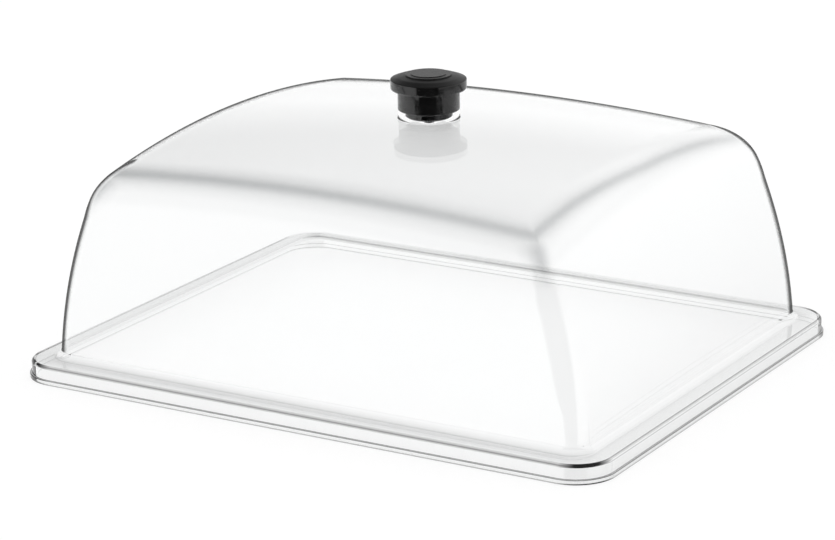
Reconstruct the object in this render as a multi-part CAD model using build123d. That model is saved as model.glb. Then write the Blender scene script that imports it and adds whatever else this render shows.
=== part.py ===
from build123d import *
from math import asin, degrees
import os

# All sizes are in millimetres. The origin is the centre of the cover's footprint,
# on the surface that the lip stands on. X runs along the long side, Z is up.

# Tray rim that the cover goes over, half-size gastronorm
TRAY_LENGTH = 325.0
TRAY_WIDTH = 265.0
TRAY_CLEARANCE = 1.9

# Clear moulding: wall, skirt, lip and flange
WALL = 2.0
LIP_PROJECTION = 1.1
LIP_HEIGHT = 2.5
LIP_EDGE_RADIUS = 0.4
RIM_HEIGHT = 9.7
RIM_CORNER_RADIUS = 21.0
FLANGE_WIDTH = 13.4
FLANGE_EDGE_RADIUS = 1.7
FLANGE_ROOT_RADIUS = 3.4

# Clear moulding: bowed walls, given by how far they lean in at half height and at the roof
END_INSET_MIDDLE = 7.0
END_INSET_TOP = 30.4
SIDE_INSET_MIDDLE = 2.8
SIDE_INSET_TOP = 5.4
CORNER_RADIUS = 10.5

# Clear moulding: crowned roof and the folds where it turns into the walls
ROOF_HEIGHT = 126.8
ROOF_CROWN_LONG = 1360.0
ROOF_CROWN_WIDE = 570.0
FOLD_RADIUS = 28.5

# The walls are drawn this far past the roof, and the folds stand this far out of the walls
WALL_REACH = 10.0
FOLD_LEAD = 0.05

# Clear moulding: round collar for the knob's neck, and the flat pad under it
COLLAR_DIAMETER = 31.8
COLLAR_HEIGHT = 4.0
COLLAR_EDGE_RADIUS = 0.5
PAD_DIAMETER = 11.0
PAD_DEPTH = 0.6

# Knob body, from its neck up
NECK_DIAMETER = 24.3
NECK_LENGTH = 3.4
DRUM_DIAMETER = 31.8
DRUM_HEIGHT = 10.5
DRUM_EDGE_RADIUS = 0.6
DISC_DIAMETER = 39.0
DISC_HEIGHT = 5.3
DISC_UNDER_RADIUS = 1.2
DISC_TOP_RADIUS = 0.5
SHOULDER_RISE = 2.0
SHOULDER_BULGE = 0.35
CORE_DIAMETER = 19.0
CORE_WEB = 4.0

# Knob cap, a plug that closes the knob's cored top
CAP_DIAMETER = 23.6
CAP_THICKNESS = 1.6
CAP_STEP = 0.6
CAP_EDGE_RADIUS = 0.3
CAP_PLUG_DEPTH = 3.0
CAP_PLUG_WALL = 1.6
MEDALLION_DIAMETER = 18.4
MEDALLION_RISE = 0.35
MEDALLION_EDGE_RADIUS = 0.15

# Brass insert, countersunk screw and soft gasket on the knob's axis
THREAD_DIAMETER = 3.0
INSERT_DIAMETER = 4.6
INSERT_LENGTH = 6.0
INSERT_GROOVE_DEPTH = 0.3
INSERT_GROOVE_WIDTH = 1.2
SCREW_LENGTH = 10.0
SCREW_TIP_CHAMFER = 0.4
SCREW_HEAD_DIAMETER = 6.0
SCREW_HEAD_EDGE = 0.2
SCREW_RECESS_WIDTH = 0.9
SCREW_RECESS_LENGTH = 3.4
SCREW_RECESS_DEPTH = 1.1
GASKET_DIAMETER = 22.0
GASKET_THICKNESS = 0.6

# Fits: gaps on the radius, and gaps along the axis
SWIVEL_GAP = 0.3
DRUM_GAP = 0.3
HEAD_RECESS = 0.1
TIP_ROOM = 0.6
CAP_FIT = 0.04
INSERT_FIT = 0.04
THREAD_FIT = 0.05

# Two places closer than this are the same place
SAME_PLACE = 0.001

# Sizes that follow from the ones above
skirt_inner_length = TRAY_LENGTH + 2 * TRAY_CLEARANCE
skirt_inner_width = TRAY_WIDTH + 2 * TRAY_CLEARANCE
skirt_length = skirt_inner_length + 2 * WALL
skirt_width = skirt_inner_width + 2 * WALL
skirt_corner = RIM_CORNER_RADIUS - LIP_PROJECTION
lip_length = skirt_length + 2 * LIP_PROJECTION
lip_width = skirt_width + 2 * LIP_PROJECTION
base_length = skirt_length - 2 * FLANGE_WIDTH
base_width = skirt_width - 2 * FLANGE_WIDTH
flange_underside = RIM_HEIGHT - WALL
wall_top = ROOF_HEIGHT + WALL_REACH

collar_top = ROOF_HEIGHT + COLLAR_HEIGHT
drum_bottom = collar_top + DRUM_GAP
neck_bottom = drum_bottom - NECK_LENGTH
socket_floor = neck_bottom - GASKET_THICKNESS
socket_radius = NECK_DIAMETER / 2 + SWIVEL_GAP
pad_face = ROOF_HEIGHT - WALL - PAD_DEPTH
screw_hole_radius = THREAD_DIAMETER / 2 + SWIVEL_GAP
disc_bottom = drum_bottom + DRUM_HEIGHT
disc_top = disc_bottom + DISC_HEIGHT
shoulder_top = disc_top + SHOULDER_RISE
cap_top = shoulder_top + CAP_STEP
cap_seat = cap_top - CAP_THICKNESS
insert_top = neck_bottom + INSERT_LENGTH
head_face = pad_face + HEAD_RECESS
screw_tip = head_face + SCREW_LENGTH
tip_hole_top = max(insert_top, screw_tip) + TIP_ROOM
core_floor = tip_hole_top + CORE_WEB
head_cone = (SCREW_HEAD_DIAMETER - THREAD_DIAMETER) / 2
countersink_depth = HEAD_RECESS + SCREW_HEAD_EDGE + head_cone


def rounded_block(length, width, corner, bottom, top):
    """Upright block with rounded corners between two heights."""
    outline = Pos(0, 0, bottom) * RectangleRounded(length, width, corner)
    return extrude(outline, top - bottom, dir=(0, 0, 1))


def round_bar(diameter, bottom, top):
    """Upright round bar on the knob's axis between two heights."""
    align = (Align.CENTER, Align.CENTER, Align.MIN)
    return Pos(0, 0, bottom) * Cylinder(diameter / 2, top - bottom, align=align)


def turned(*lines):
    """Solid of revolution about Z from the lines of a closed (radius, height) outline."""
    return revolve(Plane.XZ * make_face(Curve() + list(lines)), Axis.Z)


def top_face(solid):
    """Highest face of a solid."""
    return solid.faces().sort_by(Axis.Z)[-1]


def bottom_face(solid):
    """Lowest face of a solid."""
    return solid.faces().sort_by(Axis.Z)[0]


def flat_ring_at(solid, height):
    """Flat face with a hole in it, at one height."""
    flats = solid.faces().filter_by(Plane.XY)
    level = [face for face in flats if abs(face.center().Z - height) < SAME_PLACE]
    return [face for face in level if face.inner_wires()][0]


def rings_at(solid, diameter, height):
    """Circular edges of one diameter at one height, on the knob's axis."""
    found = []
    for edge in solid.edges().filter_by(GeomType.CIRCLE):
        right_size = abs(edge.radius - diameter / 2) < SAME_PLACE
        right_height = abs(edge.arc_center.Z - height) < SAME_PLACE
        if right_size and right_height:
            found.append(edge)
    return found


def crowned_roof(apex, crown_long, crown_wide):
    """Barrel whose upper side is the roof surface, bent along both X and Y."""
    reach = skirt_length / 2
    drop = crown_long - (crown_long**2 - reach**2) ** 0.5
    axis_height = apex - crown_wide
    low = axis_height - crown_wide
    arc = ThreePointArc((-reach, low + drop), (0, low), (reach, low + drop))
    sides = Polyline(
        (reach, low + drop), (reach, axis_height), (-reach, axis_height), (-reach, low + drop)
    )
    outline = Plane.XZ * make_face(Curve() + [arc, sides])
    return revolve(outline, Axis((0, 0, axis_height), (1, 0, 0)))


def wall_line(half, middle_inset, top_inset, side):
    """Bowed wall in section, from the ground to above the roof, on one side of the middle."""
    lean = 4 * middle_inset - top_inset

    def across(height):
        share = (height - RIM_HEIGHT) / (ROOF_HEIGHT - RIM_HEIGHT)
        return half - share * (lean + (top_inset - lean) * share)

    middle = wall_top / 2
    bend = 2 * across(middle) - (across(0) + across(wall_top)) / 2
    return Bezier(
        (side * across(0), 0), (side * bend, middle), (side * across(wall_top), wall_top)
    )


def between_walls(half, middle_inset, top_inset):
    """Flat section between two bowed walls that face each other."""
    right = wall_line(half, middle_inset, top_inset, 1)
    left = wall_line(half, middle_inset, top_inset, -1)
    ends = [Line(right @ 0, left @ 0), Line(right @ 1, left @ 1)]
    return make_face(Curve() + [right, left] + ends)


def arched(section, crown, direction, reach):
    """Section carried both ways along an arch that falls as the roof does."""
    axis = Axis((0, 0, ROOF_HEIGHT - crown), direction)
    turn = degrees(asin(reach / (crown - ROOF_HEIGHT)))
    return revolve(section.rotate(axis, -turn), axis, 2 * turn)


def end_walls(inward):
    """Block between the two end walls, moved in by one distance."""
    section = between_walls(base_length / 2 - inward, END_INSET_MIDDLE, END_INSET_TOP)
    return arched(Plane.XZ * section, ROOF_CROWN_WIDE, (1, 0, 0), skirt_width / 2)


def side_walls(inward):
    """Block between the two side walls, moved in by one distance."""
    section = between_walls(base_width / 2 - inward, SIDE_INSET_MIDDLE, SIDE_INSET_TOP)
    return arched(Plane.YZ * section, ROOF_CROWN_LONG, (0, 1, 0), skirt_length / 2)


def folded(walls, roof, across, radius):
    """Two walls under a roof, with a round fold between the roof and each wall."""
    body = walls & roof
    edges = top_face(body).edges().sort_by(across)
    return fillet([edges[0], edges[-1]], radius)


def off_axes(edge):
    """How far an edge lies from both of the cover's middle lines."""
    return abs(edge.center().X * edge.center().Y)


def dome_body(bottom, inward):
    """Solid under the bowed walls and roof, with every surface moved in by one distance.

    The folds of the ends and of the sides meet in a crease at each corner of the roof.
    """
    above = rounded_block(skirt_length, skirt_width, skirt_corner, bottom, wall_top)
    walls = end_walls(inward) & side_walls(inward) & above
    corners = sorted(walls.edges(), key=off_axes)[-4:]
    walls = fillet(corners, CORNER_RADIUS - inward)
    roof = crowned_roof(ROOF_HEIGHT - inward, ROOF_CROWN_LONG - inward, ROOF_CROWN_WIDE - inward)
    fold = FOLD_RADIUS - inward
    ends = folded(end_walls(inward - FOLD_LEAD), roof, Axis.X, fold)
    sides = folded(side_walls(inward - FOLD_LEAD), Pos(0, 0, FOLD_LEAD) * roof, Axis.Y, fold)
    return walls & ends & sides


def rim():
    """Skirt with its lip and flange, hollow underneath for the tray's rim."""
    skirt = rounded_block(skirt_length, skirt_width, skirt_corner, 0, RIM_HEIGHT)
    skirt = fillet(top_face(skirt).edges(), FLANGE_EDGE_RADIUS)
    lip = rounded_block(lip_length, lip_width, RIM_CORNER_RADIUS, 0, LIP_HEIGHT)
    lip = fillet(top_face(lip).edges() + bottom_face(lip).edges(), LIP_EDGE_RADIUS)
    recess = rounded_block(
        skirt_inner_length, skirt_inner_width, skirt_corner - WALL, 0, flange_underside
    )
    return skirt + lip - recess


def cover_dome():
    """Clear moulding: rim, walls, roof and the collar for the knob."""
    shell = rim() + dome_body(RIM_HEIGHT, 0.0)
    shell = fillet(flat_ring_at(shell, RIM_HEIGHT).inner_wires()[0].edges(), FLANGE_ROOT_RADIUS)
    shell = shell - dome_body(flange_underside, WALL)
    under_root = flat_ring_at(shell, flange_underside).inner_wires()[0].edges()
    shell = fillet(under_root, FLANGE_ROOT_RADIUS + WALL)

    collar = round_bar(COLLAR_DIAMETER, ROOF_HEIGHT - WALL / 2, collar_top)
    collar = fillet(top_face(collar).edges(), COLLAR_EDGE_RADIUS)
    pad = round_bar(PAD_DIAMETER, pad_face, ROOF_HEIGHT - WALL / 2)
    socket = round_bar(2 * socket_radius, socket_floor, collar_top)
    hole = round_bar(2 * screw_hole_radius, pad_face, socket_floor)
    countersink = Pos(0, 0, pad_face) * Cone(
        screw_hole_radius + countersink_depth,
        screw_hole_radius,
        countersink_depth,
        align=(Align.CENTER, Align.CENTER, Align.MIN),
    )
    return shell + collar + pad - socket - hole - countersink


def knob_body():
    """Black knob: neck, drum and disc, cored from the top, with a blind hole for the insert."""
    neck_r = NECK_DIAMETER / 2
    drum_r = DRUM_DIAMETER / 2
    disc_r = DISC_DIAMETER / 2
    cap_r = CAP_DIAMETER / 2
    bulge = ((disc_r + cap_r) / 2, (disc_top + shoulder_top) / 2 + SHOULDER_BULGE)
    foot = Polyline(
        (cap_r, shoulder_top),
        (0, shoulder_top),
        (0, neck_bottom),
        (neck_r, neck_bottom),
        (neck_r, drum_bottom),
        (drum_r, drum_bottom),
        (drum_r, disc_bottom),
        (disc_r, disc_bottom),
        (disc_r, disc_top),
    )
    shoulder = ThreePointArc((disc_r, disc_top), bulge, (cap_r, shoulder_top))
    knob = turned(foot, shoulder)
    knob = fillet(rings_at(knob, DRUM_DIAMETER, drum_bottom), DRUM_EDGE_RADIUS)
    knob = fillet(rings_at(knob, DISC_DIAMETER, disc_bottom), DISC_UNDER_RADIUS)
    knob = fillet(rings_at(knob, DISC_DIAMETER, disc_top), DISC_TOP_RADIUS)
    cap_recess = round_bar(CAP_DIAMETER + 2 * CAP_FIT, cap_seat, shoulder_top)
    core = round_bar(CORE_DIAMETER, core_floor, cap_seat)
    insert_hole = round_bar(INSERT_DIAMETER + 2 * INSERT_FIT, neck_bottom, insert_top)
    tip_hole = round_bar(2 * screw_hole_radius, insert_top, tip_hole_top)
    return knob - cap_recess - core - insert_hole - tip_hole


def knob_cap():
    """Black plug with a stepped top and a plain raised medallion."""
    plate = round_bar(CAP_DIAMETER, cap_seat, cap_top)
    plate = fillet(top_face(plate).edges(), CAP_EDGE_RADIUS)
    medallion = round_bar(MEDALLION_DIAMETER, cap_top - CAP_STEP, cap_top + MEDALLION_RISE)
    medallion = fillet(top_face(medallion).edges(), MEDALLION_EDGE_RADIUS)
    plug_diameter = CORE_DIAMETER - 2 * CAP_FIT
    plug = round_bar(plug_diameter, cap_seat - CAP_PLUG_DEPTH, cap_seat)
    hollow = round_bar(plug_diameter - 2 * CAP_PLUG_WALL, cap_seat - CAP_PLUG_DEPTH, cap_seat)
    return plate + medallion + (plug - hollow)


def knob_insert():
    """Brass insert with a holding groove round it and a hole for the screw's thread."""
    body = round_bar(INSERT_DIAMETER, neck_bottom, insert_top)
    groove_bottom = (neck_bottom + insert_top - INSERT_GROOVE_WIDTH) / 2
    groove_top = groove_bottom + INSERT_GROOVE_WIDTH
    groove = round_bar(INSERT_DIAMETER, groove_bottom, groove_top)
    groove = groove - round_bar(
        INSERT_DIAMETER - 2 * INSERT_GROOVE_DEPTH, groove_bottom, groove_top
    )
    thread = round_bar(THREAD_DIAMETER + 2 * THREAD_FIT, neck_bottom, insert_top)
    return body - groove - thread


def fixing_screw():
    """Countersunk screw with a cross recess, put in from under the roof."""
    head_r = SCREW_HEAD_DIAMETER / 2
    thread_r = THREAD_DIAMETER / 2
    outline = Polyline(
        (0, head_face),
        (head_r, head_face),
        (head_r, head_face + SCREW_HEAD_EDGE),
        (thread_r, head_face + SCREW_HEAD_EDGE + head_cone),
        (thread_r, screw_tip),
        (0, screw_tip),
        close=True,
    )
    screw = turned(outline)
    screw = chamfer(rings_at(screw, THREAD_DIAMETER, screw_tip), SCREW_TIP_CHAMFER)
    recess = Box(SCREW_RECESS_LENGTH, SCREW_RECESS_WIDTH, 2 * SCREW_RECESS_DEPTH)
    cross = recess + Rot(0, 0, 90) * recess
    return screw - Pos(0, 0, head_face) * cross


def neck_gasket():
    """Soft clear ring between the knob's neck and the floor of the collar."""
    ring = round_bar(GASKET_DIAMETER, socket_floor, neck_bottom)
    return ring - round_bar(INSERT_DIAMETER, socket_floor, neck_bottom)


PIECES = {
    "cover_dome": cover_dome,
    "knob_body": knob_body,
    "knob_cap": knob_cap,
    "knob_insert": knob_insert,
    "fixing_screw": fixing_screw,
    "neck_gasket": neck_gasket,
}

os.makedirs("parts", exist_ok=True)
for node, build_piece in PIECES.items():
    piece = build_piece()
    piece.label = node
    export_step(piece, f"parts/{node}.step")
    print(node, round(piece.volume, 1), "mm3")
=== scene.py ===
"""Looks of a clear tray cover with a black knob, built round its packed construction."""

import logging
import math
from dataclasses import dataclass
from enum import IntEnum
from functools import reduce

import bpy
import numpy as np
from mathutils import Matrix, Vector


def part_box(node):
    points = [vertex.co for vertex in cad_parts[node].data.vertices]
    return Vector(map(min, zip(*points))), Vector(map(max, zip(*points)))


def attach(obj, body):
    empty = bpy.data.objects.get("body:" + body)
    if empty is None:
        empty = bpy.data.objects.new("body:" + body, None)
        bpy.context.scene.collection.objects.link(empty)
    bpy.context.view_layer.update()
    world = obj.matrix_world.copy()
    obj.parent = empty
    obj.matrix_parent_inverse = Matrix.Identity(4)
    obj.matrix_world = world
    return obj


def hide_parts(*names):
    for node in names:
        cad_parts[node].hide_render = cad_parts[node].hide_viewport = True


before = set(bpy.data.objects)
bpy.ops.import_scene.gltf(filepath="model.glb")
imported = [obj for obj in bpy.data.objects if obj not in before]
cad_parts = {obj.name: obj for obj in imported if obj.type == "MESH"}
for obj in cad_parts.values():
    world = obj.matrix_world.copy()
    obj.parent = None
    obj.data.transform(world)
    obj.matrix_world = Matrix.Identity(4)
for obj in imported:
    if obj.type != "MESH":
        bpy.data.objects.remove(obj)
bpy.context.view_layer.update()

LOG = logging.getLogger("tray_cover")
PHOTO_WIDTH = 835
MM = 0.001

# Places, in millimetres, and directions that differ by less are the same
SAME_PLACE = 0.001
SAME_WAY = 1e-7

# Sockets of the mix node that carry colours
MIX_LOW, MIX_HIGH, MIX_OUT = 6, 7, 2

WHITE = (1.0, 1.0, 1.0)

Array = np.ndarray
Pair = tuple[float, float]
Triple = tuple[float, float, float]
Colour = Triple
Material = bpy.types.Material
Node = bpy.types.Node
Piece = bpy.types.Object
Socket = bpy.types.NodeSocket
Value = float | Socket


class Walls(IntEnum):
    """The two pairs of walls, by the axis that they face along."""

    ENDS = 0
    SIDES = 1


@dataclass
class Line:
    """Points along a line on a surface, with the surface's outward normals, one row for each point.

    The rows of a section are (across, height), and those of a ring are places.
    """

    points: Array
    normals: Array


@dataclass
class Reach:
    """How far points lie outside a surface, less than 0 inside, and the way that leads out."""

    distance: Array
    way: Array

    def sunk(self, depth: float) -> "Reach":
        """Same for a surface that lies deeper."""
        return Reach(self.distance + depth, self.way)

    def rounded(self, other: "Reach", radius: Array | float) -> "Reach":
        """Join two surfaces along a rounded edge.

        Args:
            other: The surface that meets this one.
            radius: The edge's radius.

        Returns:
            The reach of the joined surface.
        """
        across = np.sum(self.way * other.way, axis=-1)
        apart = np.maximum(1 - across**2, SAME_WAY)
        a, b = self.distance + radius, other.distance + radius
        first, second = a - b * across, b - a * across
        edge = np.sqrt(np.maximum(a * first + b * second, SAME_WAY) / apart)
        bent = (first > 0) & (second > 0) & (apart > SAME_WAY)
        turned = (first / (apart * edge))[..., None] * self.way
        turned = turned + (second / (apart * edge))[..., None] * other.way
        straight = np.where((a > b)[..., None], self.way, other.way)
        return Reach(
            np.where(bent, edge, np.maximum(a, b)) - radius,
            np.where(bent[..., None], turned, straight),
        )


def ramp(value: Array, start: Array | float, full: Array | float) -> Array:
    """Go straight from 0 at one value to 1 at another, and stay level outside them."""
    return np.clip((value - start) / (full - start), 0, 1)


def tilt_of(way: Array) -> Array:
    """How steeply directions lead up, in degrees."""
    return np.degrees(np.arcsin(np.clip(way[..., 2], -1, 1)))


def headings(angles: Array) -> Array:
    """Level directions at angles from +X."""
    return np.column_stack([np.cos(angles), np.sin(angles)])


def raised(flat: Array, height: float) -> Array:
    """Give flat places or directions one height."""
    return np.column_stack([flat, np.full(len(flat), height)])


def rounded_line(corners: list[Triple], steps: int) -> Line:
    """Round the corners of a bent line that keeps the solid on its right.

    Args:
        corners: Places along the line as (across, height, radius). The ends have no radius.
        steps: Pieces in each rounded corner.

    Returns:
        The line, with an arc in place of each corner between its ends.
    """
    places = np.array([corner[:2] for corner in corners])
    radii = [corner[2] for corner in corners]
    ways = np.diff(places, axis=0)
    ways /= np.linalg.norm(ways, axis=1)[:, None]
    lefts = np.column_stack([-ways[:, 1], ways[:, 0]])
    points = [places[0]]
    normals = [lefts[0]]
    for place, radius, way, left, next_left in zip(places[1:], radii[1:], ways, lefts, lefts[1:]):
        turn = math.atan2(-way @ next_left, left @ next_left)
        bulge = -math.copysign(radius, turn)
        centre = place - way * radius * math.tan(abs(turn) / 2) - left * bulge
        for angle in np.linspace(0, turn, steps + 1):
            normals.append(left * math.cos(angle) - way * math.sin(angle))
            points.append(centre + normals[-1] * bulge)
    points.append(places[-1])
    normals.append(lefts[-1])
    return Line(np.array(points), np.array(normals))


def turned_rings(section: Line, angles: Array) -> list[Line]:
    """Turn a section about the upright axis.

    Args:
        section: Points as (radius, height).
        angles: The angle of each point of a ring.

    Returns:
        One ring for each point of the section.
    """
    around = headings(angles)
    return [
        Line(raised(around * radius, height), raised(around * level, up))
        for (radius, height), (level, up) in zip(section.points, section.normals)
    ]


def skinned(name: str, rings: list[Line], closed: bool) -> Piece:
    """Skin a stack of rings into one smooth mesh that keeps the rings' normals.

    Args:
        name: The piece's name.
        rings: Rings in millimetres with as many points each. A ring may shrink to a single place.
        closed: True to join the last ring to the first.

    Returns:
        The new piece, linked into the scene.
    """
    points = np.array([ring.points for ring in rings])
    normals = np.array([ring.normals for ring in rings])
    index = np.arange(points[..., 0].size).reshape(points.shape[:2])
    poles = np.ptp(points, axis=1).max(axis=1) < SAME_PLACE
    index[poles] = index[poles, :1]
    after = np.roll(index, -1, axis=0)
    if not closed:
        index, after = index[:-1], after[:-1]
    quads = np.stack([index, np.roll(index, -1, 1), np.roll(after, -1, 1), after], axis=-1)
    used, quads = np.unique(quads.reshape(-1, 4), return_inverse=True)
    quads = quads.reshape(-1, 4)
    places = points.reshape(-1, 3)[used]
    facing = normals.reshape(-1, 3)[used]
    a, b, c, d = (places[quads[:, corner]] for corner in range(4))
    if np.sum(np.cross(c - a, d - b) * facing[quads[:, 0]]) < 0:
        quads = quads[:, ::-1]
    faces = [list(dict.fromkeys(quad)) for quad in quads.tolist()]
    mesh = bpy.data.meshes.new(name)
    mesh.from_pydata((places * MM).tolist(), [], faces)
    mesh.polygons.foreach_set("use_smooth", [True] * len(mesh.polygons))
    mesh.update()
    mesh.normals_split_custom_set_from_vertices(facing.tolist())
    piece = bpy.data.objects.new(name, mesh)
    bpy.context.scene.collection.objects.link(piece)
    return piece


class NodeSheet:
    """A tree of shader nodes, with short calls to add and join them."""

    def __init__(self, tree: bpy.types.NodeTree) -> None:
        """Start with an empty tree."""
        self.tree = tree
        self.tree.nodes.clear()

    @classmethod
    def of_material(cls, name: str) -> tuple["NodeSheet", Material]:
        """Make a new material.

        Args:
            name: Its name.

        Returns:
            Its sheet and itself.
        """
        material = bpy.data.materials.new(name)
        material.use_nodes = True
        return cls(material.node_tree), material

    def add(self, kind: str, *values: object, **named: object) -> Node:
        """Add a node.

        Args:
            kind: The node's type name.
            values: Values, or outputs to join, for its first inputs in order.
            named: The same by the input's name, with spaces as underscores. A name in small letters
                is a setting of the node.

        Returns:
            The new node.
        """
        node = self.tree.nodes.new(kind)
        for name, value in named.items():
            if name.islower():
                setattr(node, name, value)
            else:
                self.feed(value, node.inputs[name.replace("_", " ")])
        for value, target in zip(values, node.inputs):
            self.feed(value, target)
        return node

    def feed(self, value: Value | Triple, target: Socket) -> None:
        """Set an input to a value, or join an output to it.

        Args:
            value: The value or the output.
            target: The input.
        """
        if isinstance(value, Socket):
            self.tree.links.new(value, target)
        elif target.type == "RGBA":
            target.default_value = (*value, 1.0)
        else:
            target.default_value = value

    def path(self, fact: str) -> Socket:
        """Read a fact about the light's path and return it."""
        return self.add("ShaderNodeLightPath").outputs[fact]

    def noise(self, scale: float, detail: float = 3.0) -> Socket:
        """Add noise in the object's own space and return its value."""
        place = self.add("ShaderNodeTexCoord").outputs["Object"]
        return self.add("ShaderNodeTexNoise", Vector=place, Scale=scale, Detail=detail).outputs["Fac"]

    def attribute(self, name: str) -> Socket:
        """Read a value that the mesh carries and return it."""
        return self.add("ShaderNodeAttribute", attribute_name=name).outputs["Fac"]

    def maths(self, operation: str, first: Value, second: Value) -> Socket:
        """Work out a value from two others and return it."""
        return self.add("ShaderNodeMath", first, second, operation=operation).outputs["Value"]

    def times(self, *values: Value) -> Socket:
        """Multiply values and return their product."""
        return reduce(lambda first, second: self.maths("MULTIPLY", first, second), values)

    def remainder(self, value: Value) -> Socket:
        """Take a value from 1 and return what is left."""
        return self.maths("SUBTRACT", 1.0, value)

    def ranged(self, value: Socket, source: tuple[Value, Value], target: Pair) -> Socket:
        """Carry a value smoothly from one range over to another and return it."""
        node = self.add("ShaderNodeMapRange", value, *source, *target, interpolation_type="SMOOTHSTEP")
        return node.outputs["Result"]

    def blend(self, factor: Socket, low: Socket | Colour, high: Socket | Colour) -> Socket:
        """Mix two colours by a factor.

        Args:
            factor: The value that mixes.
            low: Colour at 0.
            high: Colour at 1.

        Returns:
            The mixed colour.
        """
        node = self.add("ShaderNodeMix", factor, data_type="RGBA")
        self.feed(low, node.inputs[MIX_LOW])
        self.feed(high, node.inputs[MIX_HIGH])
        return node.outputs[MIX_OUT]

    def shaders(self, factor: Socket, low: Node, high: Node) -> Node:
        """Mix two shaders, the first at 0 and the second at 1, and return the mix."""
        return self.add("ShaderNodeMixShader", factor, low.outputs[0], high.outputs[0])

    def show(self, surface: Node, kind: str = "ShaderNodeOutputMaterial") -> Node:
        """Add the tree's output, with a shader on it, and return it."""
        return self.add(kind, Surface=surface.outputs[0])

    def show_clear(self, surface: Node, lamp_share: Colour) -> Node:
        """Add the output of a clear finish, which passes a share of the lamps' light, and return it."""
        through = self.add("ShaderNodeBsdfTransparent", Color=lamp_share)
        return self.show(self.shaders(self.path("Is Shadow Ray"), surface, through))


@dataclass(frozen=True)
class ClearPlastic:
    """The clear polycarbonate, which is tinted less where it shows through another wall."""

    clear: Colour
    clearer: Colour
    behind: Colour
    lamp_share: Colour
    ior: float = 1.585
    cloud_scale: float = 14.0
    # Painted shade: the grey mixed in along folds, creases and roots, and the black of painted dark lines
    # and outlines
    painted_shade_grey: Colour = (0.54, 0.55, 0.555)
    painted_dark: Colour = (0.02, 0.02, 0.02)
    first_wall: float = 1.5

    def tint(self, sheet: NodeSheet, near: Socket) -> Socket:
        """Add the plastic's own colour, by whether it is the nearest wall, and return it."""
        cloud = sheet.blend(sheet.noise(self.cloud_scale), self.clear, self.clearer)
        return sheet.blend(near, self.behind, cloud)


@dataclass(frozen=True)
class ClearShell(ClearPlastic):
    """The thin polished shell.

    It hardly bends what shows through it. It has painted grey shade along its folds, and a painted dark
    outline where it curves out of sight. Its gloss is a coat with the plastic's index.
    """

    clear: Colour = (0.962, 0.967, 0.967)
    clearer: Colour = (0.972, 0.977, 0.977)
    behind: Colour = (0.998, 1.0, 1.0)
    lamp_share: Colour = (0.1, 0.1, 0.1)
    bend: float = 1.004
    painted_shade_facings: Pair = (0.62, 0.80)
    facing_blend: float = 0.5
    first_skin: float = 0.5

    def material(self) -> Material:
        """Make the finish.

        Returns:
            Its material.
        """
        sheet, material = NodeSheet.of_material("clear_moulding")
        depth = sheet.path("Transmission Depth")
        first = sheet.maths("LESS_THAN", depth, self.first_skin)
        near = sheet.maths("LESS_THAN", depth, self.first_wall)
        near = sheet.times(near, sheet.remainder(sheet.attribute("stray")))
        # Painted dark outline: the colour turns black as the surface turns edge on, between facings that
        # the mesh carries
        facing = sheet.add("ShaderNodeLayerWeight", Blend=self.facing_blend).outputs["Facing"]
        limits = (sheet.attribute("dark_from"), sheet.attribute("dark_full"))
        edge = sheet.times(sheet.ranged(facing, limits, (0.0, 1.0)), first)
        # Painted grey shade along folds and creases, from the mesh's values, shown on the nearest wall only
        shown = sheet.ranged(facing, self.painted_shade_facings, (1.0, 0.0))
        painted_shade = sheet.times(sheet.attribute("painted_shade"), near, shown)
        painted_shade_grey = sheet.blend(painted_shade, self.tint(sheet, near), self.painted_shade_grey)
        glass = sheet.add(
            "ShaderNodeBsdfPrincipled",
            Base_Color=sheet.blend(edge, painted_shade_grey, self.painted_dark),
            Roughness=0.0,
            IOR=self.bend,
            Transmission_Weight=1.0,
            Coat_Weight=sheet.maths("MAXIMUM", sheet.maths("SUBTRACT", near, edge), 0.0),
            Coat_Roughness=0.0,
            Coat_IOR=self.ior,
        )
        sheet.show_clear(glass, self.lamp_share)
        return material


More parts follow.
